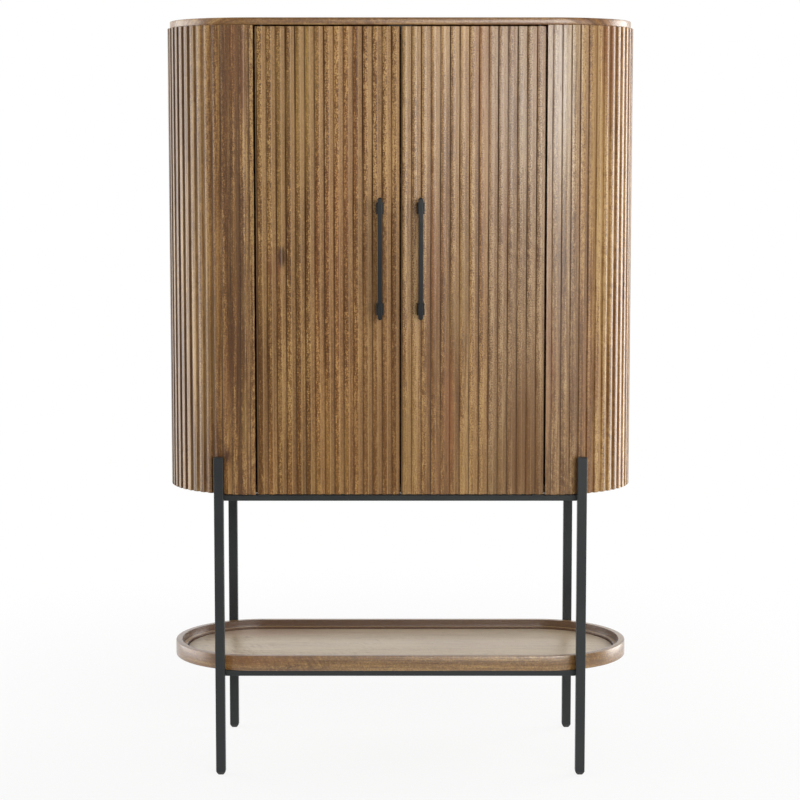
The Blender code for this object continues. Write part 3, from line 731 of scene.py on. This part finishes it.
boards = {
    # places across are counted from the edge where the board starts, places along are heights
    "left_door": {
        "piece": "leftDoorBoards", "body": "left_door", "finish": "mangoLeftDoor",
        "lies": "ribbed", "seed": 11.3, "firstRib": 0.0045,
        "stipple": 1.25, "shine": 0.20, "roughness": 0.34, "fade": 0.26, "lift": -0.11, "warmth": 0.25,
        "grooveLift": 0.66, "edgeHighlight": 0.45, "footShade": 1.0, "footWidth": 0.0044,
        "tints": ((0.0, (0.97, 0.98, 0.95)), (0.40, (1.06, 1.0, 0.97)), (0.73, (0.98, 0.95, 0.98))),
        "patches": (
            ("olive", 0.105, 1.45, 0.040, 0.26, 0.55),
            ("russet", 0.038, 1.085, 0.028, 0.050, 0.80),
            ("russet", 0.045, 1.03, 0.035, 0.15, 0.30),
            ("brown", 0.250, 1.05, 0.070, 0.26, 0.65),
            ("brown", 0.245, 0.74, 0.080, 0.24, 0.50),
            ("brown", 0.030, 0.78, 0.045, 0.16, 0.35),
        ),
        "knots": ((0.054, 1.106, 0.013, 1.4),),
    },
    "right_door": {
        "piece": "rightDoorBoards", "body": "right_door", "finish": "mangoRightDoor",
        "lies": "ribbed", "seed": 27.9, "firstRib": 0.003,
        "stipple": 1.2, "shine": 0.45, "roughness": 0.29, "fade": 0.30, "lift": 0.10, "figure": 0.75,
        "grooveLift": 0.30, "edgeHighlight": 0.20, "footShade": 0.95, "footWidth": 0.0028,
        # the outer board's grey-mauve is partly its own tone and partly a painted sheen
        "tints": ((0.0, (1.0, 1.0, 1.06)), (0.60, (0.88, 0.94, 1.22))),
        "patches": (
            ("groove", 0.095, 1.40, 0.110, 0.34, 0.30),
            # a painted sheen on the upper part of the outer board
            ("sheenGrey", 0.245, 1.46, 0.080, 0.34, 0.20),
            ("red", 0.104, 0.78, 0.018, 0.22, 0.65),
            ("brown", 0.258, 0.73, 0.060, 0.24, 0.80),
            ("brown", 0.072, 0.92, 0.022, 0.16, 0.45),
            ("brown", 0.200, 0.66, 0.060, 0.10, 0.30),
        ),
        "knots": ((0.104, 1.318, 0.008, 0.6),),
    },
    "left_wall": {
        "piece": "leftWallBoards", "body": "cabinet", "finish": "mangoLeftWall", "side": -1,
        "lies": "ribbed", "seed": 43.1, "firstRib": -0.0017, "flip": True,
        "stipple": 1.0, "shine": 0.60, "roughness": 0.34, "fade": 0.10, "lift": 0.09, "figure": 1.45,
        "streaky": 0.3, "smoothFrom": (0.10, 0.17),
        "grooveLift": 0.15, "edgeHighlight": 0.75, "edgeHighlightFrom": (0.08, 0.15), "edgeHighlightHue": "paleAndLit", "edgeHighlightShift": -0.001,
        "footShade": 0.60, "footRun": (0.09, 0.14, 0.3, 0.0), "grooveShadeFrom": (0.11, 0.17),
        "panelWidth": 0.60,
        "tints": (
            (0.0, (1.0, 1.0, 1.0)), (0.055, (0.92, 0.88, 0.85)), (0.19, (1.0, 1.0, 1.0)),
            (0.5, (0.94, 0.95, 0.93)), (0.72, (1.05, 1.02, 1.0)),
        ),
        "patches": (
            ("russet", 0.022, 1.48, 0.012, 0.16, 0.6),
            ("gold", 0.085, 1.10, 0.014, 0.34, 0.5),
            ("gold", 0.040, 1.16, 0.010, 0.24, 0.4),
            ("russet", 0.058, 0.86, 0.016, 0.14, 0.5),
            ("olive", 0.018, 0.76, 0.009, 0.14, 0.5),
        ),
        "streaks": (
            (0.062, 1.36, 1.70, 0.012, 0.85),
            (0.056, 1.10, 1.42, 0.007, 0.3),
            (0.030, 0.70, 1.02, 0.006, 0.35),
        ),
        "knots": ((0.062, 0.684, 0.010, 0.9),),
    },
    "right_wall": {
        "piece": "rightWallBoards", "body": "cabinet", "finish": "mangoRightWall", "side": 1,
        "lies": "ribbed", "seed": 61.7, "firstRib": 0.012,
        "stipple": 0.8, "shine": 0.62, "roughness": 0.29, "fade": -0.10, "lift": 0.09,
        "grooveLift": 0.25, "edgeHighlight": 0.12, "footShade": 0.85, "footRun": (0.08, 0.16, 1.0, 0.4),
        "panelWidth": 0.60,
        "tints": (
            # the first board's pale blue-grey is a painted sheen
            (0.0, (1.10, 1.24, 1.70)), (0.117, (1.02, 1.04, 1.08)), (0.45, (0.95, 0.95, 0.95)),
            (0.75, (1.04, 1.0, 1.0)),
        ),
        "patches": (
            # a painted sheen on the upper front of the wall
            ("sheenGrey", 0.022, 1.46, 0.045, 0.32, 0.55),
            ("brown", 0.092, 1.34, 0.014, 0.07, 0.6),
            ("olive", 0.110, 1.30, 0.035, 0.34, 0.45),
            ("russet", 0.120, 0.86, 0.020, 0.12, 0.35),
        ),
    },
}
ribRow = 8                   # points across one rib
loopRow = 7                  # points round the board's section


def ribbedTree():
    tree, w = newTree("ribbedBoard", (
        *ribs, "Length", "First Rib", "Start Depth", "End Depth", "Thickness", "Bottom", "Height",
        "Radius", "Lead", "Side", "Start X", "Centre Y",
    ))
    count = (w["Length"] / w["Pitch"]).math("FLOOR") + 3    # with ribs to spare at both ends
    columns = count * ribRow + 2
    grid, column, row = gridPoints(columns, columns, loopRow)
    capped = (column < 0.5) + (column > columns - 1.5)      # the outer columns close the board's ends

    place = (column - 1).clamp(0.0, columns - 3)
    rib = place.whole(ribRow)
    corner = place - rib * ribRow
    edge, width, draft, deep = w["Edge"], w["Rib Width"], w["Draft"], w["Rib Depth"]
    middle = edge * 0.3                                     # the middle of an eased edge
    offset = corner.pick((0 - draft, 0.0, middle, edge, width - edge, width - middle, width, width + draft))
    drop = corner.pick((deep, edge, middle, 0.0, 0.0, middle, edge, deep))
    spot = w["First Rib"] + (rib - 1) * w["Pitch"] + offset
    before = spot < 0.0
    after = spot > w["Length"]
    along = spot.clamp(0.0, w["Length"])
    depth = drop + before * (w["Start Depth"] - drop) + after * (w["End Depth"] - drop)

    turn = row + capped * (row.pick((0.0, 1.0, 2.0, 3.0, 2.0, 1.0, 0.0)) - row)
    ease, thick, high = w["Ease"], w["Thickness"], w["Height"]
    level = turn.pick((0.0, ease, high - ease, high, high, 0.0, 0.0))
    inset = turn.pick((depth + ease, depth, depth, depth + ease, thick, thick, depth + ease))
    front = turn.pick((1.0, 1.0, 1.0, 1.0, 0.0, 0.0, 1.0))

    reach = w["Radius"] - inset
    bend = ((along - w["Lead"]) / w["Radius"]).clamp(0.0, math.pi)
    tail = (along - w["Lead"] - w["Radius"] * math.pi).most(0.0)
    x = (along.math("MINIMUM", w["Lead"]) + bend.math("SINE") * reach - tail) * w["Side"] + w["Start X"]
    y = w["Centre Y"] - bend.math("COSINE") * reach
    shape = placed(grid, x, y, level + w["Bottom"])
    for label, value in (("along", along), ("front", front)):
        shape = shape.add("GeometryNodeStoreNamedAttribute", {"data_type": "FLOAT", "domain": "POINT"},
                          {"Geometry": shape, "Name": label, "Value": value})
    endTree(tree, merged(shape), w["Finish"])
    return tree


def endDepth(spot, firstRib):
    share = (spot - firstRib) % ribs["Pitch"]
    return 0.0 if share < ribs["Rib Width"] else ribs["Rib Depth"]


def makeBoards():
    tree = ribbedTree()
    wallLow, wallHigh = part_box("right_wall")
    doorLow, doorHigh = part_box("right_door")
    radius = (wallHigh.y - wallLow.y) / 2
    wallLead = wallHigh.x - radius - wallLow.x              # straight run before the bend
    for node, board in boards.items():
        low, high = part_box(node)
        if "side" in board:
            look = board
            lead = wallLead
            length = math.pi * radius + 2 * lead
        else:
            length = high.x - low.x
            lead = length + 1                               # longer than the door, so it stays straight
            look = {**board, "doorWidth": length, "panelWidth": length}
        side = board.get("side", 1)
        first = board["firstRib"]
        values = {
            **ribs, "Length": length, "First Rib": first, "Start Depth": endDepth(0.0, first),
            "End Depth": endDepth(length, first), "Thickness": doorHigh.y - doorLow.y, "Bottom": low.z,
            "Height": high.z - low.z, "Radius": radius, "Lead": lead, "Side": side,
            "Start X": high.x if side < 0 else low.x, "Centre Y": (wallHigh.y + wallLow.y) / 2,
            "Finish": woodFinish(board["finish"], look),
        }
        fromTree(board["piece"], tree, values, board["body"], [node])


makeBoards()
print("ribbed boards made")


# oval pieces: the top, the tray's rim and the tray's floor

ovals = {
    "top_panel": {
        "piece": "topPanelBoard", "shape": "topPlateShape", "finish": "mangoTop", "edge": 0.0022,
        "lies": "flat", "seed": 5.9, "streaky": 0.2, "lift": 0.07, "figure": 0.7, "coat": 0.4,
    },
    "tray_rim": {
        "piece": "trayRimBoard", "shape": "trayRimShape", "finish": "mangoTrayRim", "edge": 0.0024,
        "thick": 0.014, "ledge": 0.011, "ledgeDrop": 0.014,
        "lies": "round", "seed": 71.3, "streaky": 0.2, "figure": 0.65, "coat": 0.75, "roughness": 0.36,
        "tint": (0.94, 0.98, 0.80),
    },
    "tray_floor": {
        "piece": "trayFloorBoard", "shape": "floorPlateShape", "finish": "mangoTrayFloor", "edge": 0.0010,
        # its pale grey base colour is partly a painted reflection of the white surroundings
        "lies": "flat", "seed": 83.9, "streaky": 0.1, "lift": 0.46, "figure": 0.6,
        "coat": 0.66, "coatRoughness": 0.34, "roughness": 0.45, "tint": (1.22, 1.56, 2.7),
    },
}
ovalStations = 194           # points round an oval, two half turns
ovalSlack = 0.00002          # kept below the solid's own top face
arcMiddle = 0.29             # where the middle of an eased edge lies, as a share of the edge


def ovalTree(name, inputs, outline):
    # outline(w) gives the section as pairs of an inset from the edge and a height
    tree, w = newTree(name, ("Straight", "Radius", "Centre Y", "Bottom", "Height", "Edge", *inputs))
    section = outline(w)
    grid, column, row = gridPoints(w["Radius"], ovalStations + 1, len(section))
    station = column - (column > ovalStations - 0.5) * ovalStations
    half = ovalStations / 2
    far = station > half - 0.5
    bend = (station - far * half) * (math.pi / (half - 1)) + far * math.pi
    side = 1 - far * 2
    reach = w["Radius"] - row.pick([inset for inset, height in section])
    x = bend.math("SINE") * reach + side * w["Straight"]
    y = w["Centre Y"] - bend.math("COSINE") * reach
    z = row.pick([height for inset, height in section]) + w["Bottom"]
    endTree(tree, merged(placed(grid, x, y, z)), w["Finish"])
    return tree


def upperEdge(edge, top):
    # three points of an eased edge, from the side to the flat
    return [(0.0, top - edge), (edge * arcMiddle, top - edge * arcMiddle), (edge, top)]


def lowerEdge(edge):
    return [(edge, 0.0), (edge * arcMiddle, edge * arcMiddle), (0.0, edge)]


def plateOutline(w):
    middle, high, edge = w["Radius"], w["Height"], w["Edge"]
    small = edge * 0.5                                      # the lower edge
    return [(middle, 0.0), *lowerEdge(small), *upperEdge(edge, high), (middle, high)]


def rimOutline(w):
    high, thick, edge = w["Height"], w["Thick"], w["Edge"]
    shelf = high - w["Ledge Drop"]
    inner = thick + w["Ledge"]
    small = edge * 0.4                                      # the lesser edges
    section = [(small, 0.0), (0.0, small), *upperEdge(edge, high)]
    section += [(thick - small, high), (thick, high - small), (thick, shelf), (inner - small, shelf)]
    section += [(inner, shelf - small), (inner, 0.0)]
    return section + [section[0]]


def makeOvals():
    for node, oval in ovals.items():
        low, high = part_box(node)
        radius = (high.y - low.y) / 2
        straight, centreY = high.x - radius, (high.y + low.y) / 2
        look = {**oval, "oval": (straight, radius, centreY)}
        values = {
            "Straight": straight, "Radius": radius, "Centre Y": centreY, "Bottom": low.z,
            "Height": high.z - low.z - ovalSlack, "Edge": oval["edge"],
        }
        if "ledge" in oval:
            look["innerFace"] = radius - oval["thick"]
            ledge = {"Thick": oval["thick"], "Ledge": oval["ledge"], "Ledge Drop": oval["ledgeDrop"]}
            values.update(ledge)
            tree = ovalTree(oval["shape"], ledge, rimOutline)
        else:
            tree = ovalTree(oval["shape"], (), plateOutline)
        values["Finish"] = woodFinish(oval["finish"], look)
        fromTree(oval["piece"], tree, values, "cabinet", [node])


makeOvals()
print("oval pieces made")


# powder coat, plastic and metal: a fine skin with slight change of tone

coats = {
    "powder": {
        "name": "blackPowderCoat", "seed": 3.3, "peel": 900.0, "roughness": 0.42, "bump": 0.10,
        "low": (0.013, 0.016, 0.017), "high": (0.022, 0.025, 0.026), "metallic": 0.0, "shine": 0.35,
    },
    "handle": {
        "name": "blackHandleCoat", "seed": 4.7, "peel": 900.0, "roughness": 0.30, "bump": 0.10,
        "low": (0.006, 0.008, 0.009), "high": (0.011, 0.013, 0.014), "metallic": 0.0, "shine": 0.25,
    },
    "pin": {
        "name": "darkSteelPin", "seed": 9.9, "peel": 700.0, "roughness": 0.42, "bump": 0.06,
        "low": (0.05, 0.05, 0.052), "high": (0.09, 0.09, 0.092), "metallic": 1.0, "shine": 0.5,
    },
    "plastic": {
        "name": "blackPlastic", "seed": 6.1, "peel": 1400.0, "roughness": 0.55, "bump": 0.14,
        "low": (0.018, 0.018, 0.018), "high": (0.032, 0.032, 0.033), "metallic": 0.0, "shine": 0.5,
    },
    "zinc": {
        "name": "zincSteel", "seed": 8.8, "peel": 600.0, "roughness": 0.30, "bump": 0.05,
        "low": (0.50, 0.51, 0.52), "high": (0.66, 0.66, 0.65), "metallic": 1.0, "shine": 0.5,
    },
}
coatSkin = {"cloudGloss": 0.14, "peelGloss": 0.10, "peelDepth": 0.0004}


def coatFinish(look):
    mat, tree, shader = newFinish(look["name"])
    place = Wire(tree).add("ShaderNodeTexCoord", out="Object")
    x, y, z = place.split()
    cloud = noise(x + y, z, "cloud", look["seed"])
    peel = place.add("ShaderNodeTexNoise", None, {"Vector": place, "Scale": look["peel"], "Detail": 2.0})
    cloud.blend((*look["low"], 1), (*look["high"], 1)).feed(shader, "Base Color")
    gloss = (cloud - 0.5) * coatSkin["cloudGloss"] + (peel - 0.5) * coatSkin["peelGloss"]
    (look["roughness"] + gloss).feed(shader, "Roughness")
    bumpValues = {"Strength": look["bump"], "Distance": coatSkin["peelDepth"], "Height": peel}
    place.add("ShaderNodeBump", None, bumpValues).feed(shader, "Normal")
    shader.inputs["Metallic"].default_value = look["metallic"]
    shader.inputs["Specular IOR Level"].default_value = look["shine"]
    return mat


finishes = {label: coatFinish(look) for label, look in coats.items()}
finishes["inside"] = woodFinish("mangoInside", {"lies": "flat", "seed": 97.1})
finishes["back"] = woodFinish("mangoBack", {"lies": "upright", "seed": 101.7})
print("plain finishes made:", len(finishes))


# screws with a cross recess: two behind each handle, four up through the base frame

screws = {
    "Head Radius": 0.004,
    "Head Height": 0.0025,
    "Shank Radius": 0.002,
    "Tip Radius": 0.0014,
    "Tip Length": 0.0008,
    "Recess Length": 0.0046,
    "Recess Width": 0.0009,
    "Recess Depth": 0.0011,
}
# shares of the head's radius and height, from the flat to the rim
screwCrown = ((0.66, 0.0), (0.80, 0.16), (0.95, 0.46), (1.0, 0.62))
screwSteps = 24              # points round a screw


def screwOutline(w):
    # radius and height from the middle of the head's top down to the shank's end
    head, high, shank, end = w["Head Radius"], w["Head Height"], w["Shank Radius"], 0 - w["Length"]
    crown = [(head * out, high * -down) for out, down in screwCrown]
    return [
        (0.0, 0.0), *crown, (head, 0 - high), (shank, 0 - high), (shank, end + w["Tip Length"]),
        (w["Tip Radius"], end), (0.0, end),
    ]


def screwTree():
    tree, w = newTree("screwRows", (
        *screws, "Length", "Count", "Start X", "Start Y", "Start Z", "Step X", "Step Y", "Step Z", "Turn",
    ))
    outline = screwOutline(w)
    grid, column, row = gridPoints(w["Length"], screwSteps + 1, len(outline))
    bend = column * (2 * math.pi / screwSteps)
    reach = row.pick([radius for radius, height in outline])
    level = row.pick([height for radius, height in outline])
    body = merged(placed(grid, bend.math("COSINE") * reach, bend.math("SINE") * reach, level))
    long, wide = w["Recess Length"], w["Recess Width"]
    deep = w["Recess Depth"] * 2                            # half of a bar stands above the head
    cutting = {"operation": "DIFFERENCE", "solver": "EXACT"}
    cut = body.add("GeometryNodeMeshBoolean", cutting, {"Mesh 1": body})
    for size in (vector(long, wide, deep), vector(wide, long, deep)):
        size.add("GeometryNodeMeshCube", None, {"Size": size}).feed(cut.socket.node, "Mesh 2")

    number = body.add("GeometryNodeInputIndex")
    side = number.whole(2)                                  # two screws on each side
    end = number - side * 2
    place = vector(w["Start X"] + side * w["Step X"], w["Start Y"] + end * w["Step Y"],
                   w["Start Z"] + end * w["Step Z"])
    points = place.add("GeometryNodePoints", None, {"Count": w["Count"], "Position": place})
    turn = vector(w["Turn"], 0.0, 0.0)
    rows = points.add("GeometryNodeInstanceOnPoints", None,
                      {"Points": points, "Instance": cut, "Rotation": turn})
    endTree(tree, rows, w["Finish"])
    return tree


def makeScrews():
    tree = screwTree()
    shared = {**screws, "Finish": finishes["zinc"]}
    for side in ("left", "right"):
        replaced = ["handle_screw_%s_%s" % (side, end) for end in ("lower", "upper")]
        (low, high), (upperLow, upperHigh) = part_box(replaced[0]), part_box(replaced[1])
        values = {
            **shared, "Length": high.y - low.y, "Count": 2.0,
            "Start X": (low.x + high.x) / 2, "Start Y": high.y, "Start Z": (low.z + high.z) / 2,
            "Step X": 0.0, "Step Y": 0.0, "Step Z": upperLow.z - low.z, "Turn": -math.pi / 2,
        }
        fromTree(side + "HandleScrews", tree, values, side + "_door", replaced)
    replaced = ["base_screw_%s_%s" % (end, side) for end in ("front", "rear") for side in ("left", "right")]
    (low, high), (farLow, farHigh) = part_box(replaced[0]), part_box(replaced[3])
    values = {
        **shared, "Length": high.z - low.z, "Count": 4.0,
        "Start X": (low.x + high.x) / 2, "Start Y": (low.y + high.y) / 2, "Start Z": low.z,
        "Step X": farLow.x - low.x, "Step Y": farLow.y - low.y, "Step Z": 0.0, "Turn": math.pi,
    }
    fromTree("baseScrews", tree, values, "cabinet", replaced)


makeScrews()
print("screws made")


# finishes for the pieces that keep their own shape

def finishFor(node):
    if node == "back_panel":
        return "back"
    if "shelf" in node or node == "bottom_panel":
        return "inside"
    if node.startswith(("handle_bar", "handle_post")):
        return "handle"
    if "_pin_" in node:
        return "pin"
    if node.startswith(("handle_screw", "base_screw", "strike")):
        return "zinc"
    if node.startswith(("glide", "spacer", "magnet")) or "bush" in node or "washer" in node:
        return "plastic"
    return "powder"


def paintNodes():
    for node, obj in nodes.items():
        obj.data.materials.clear()
        obj.data.materials.append(finishes[finishFor(node)])


paintNodes()
print("nodes painted")
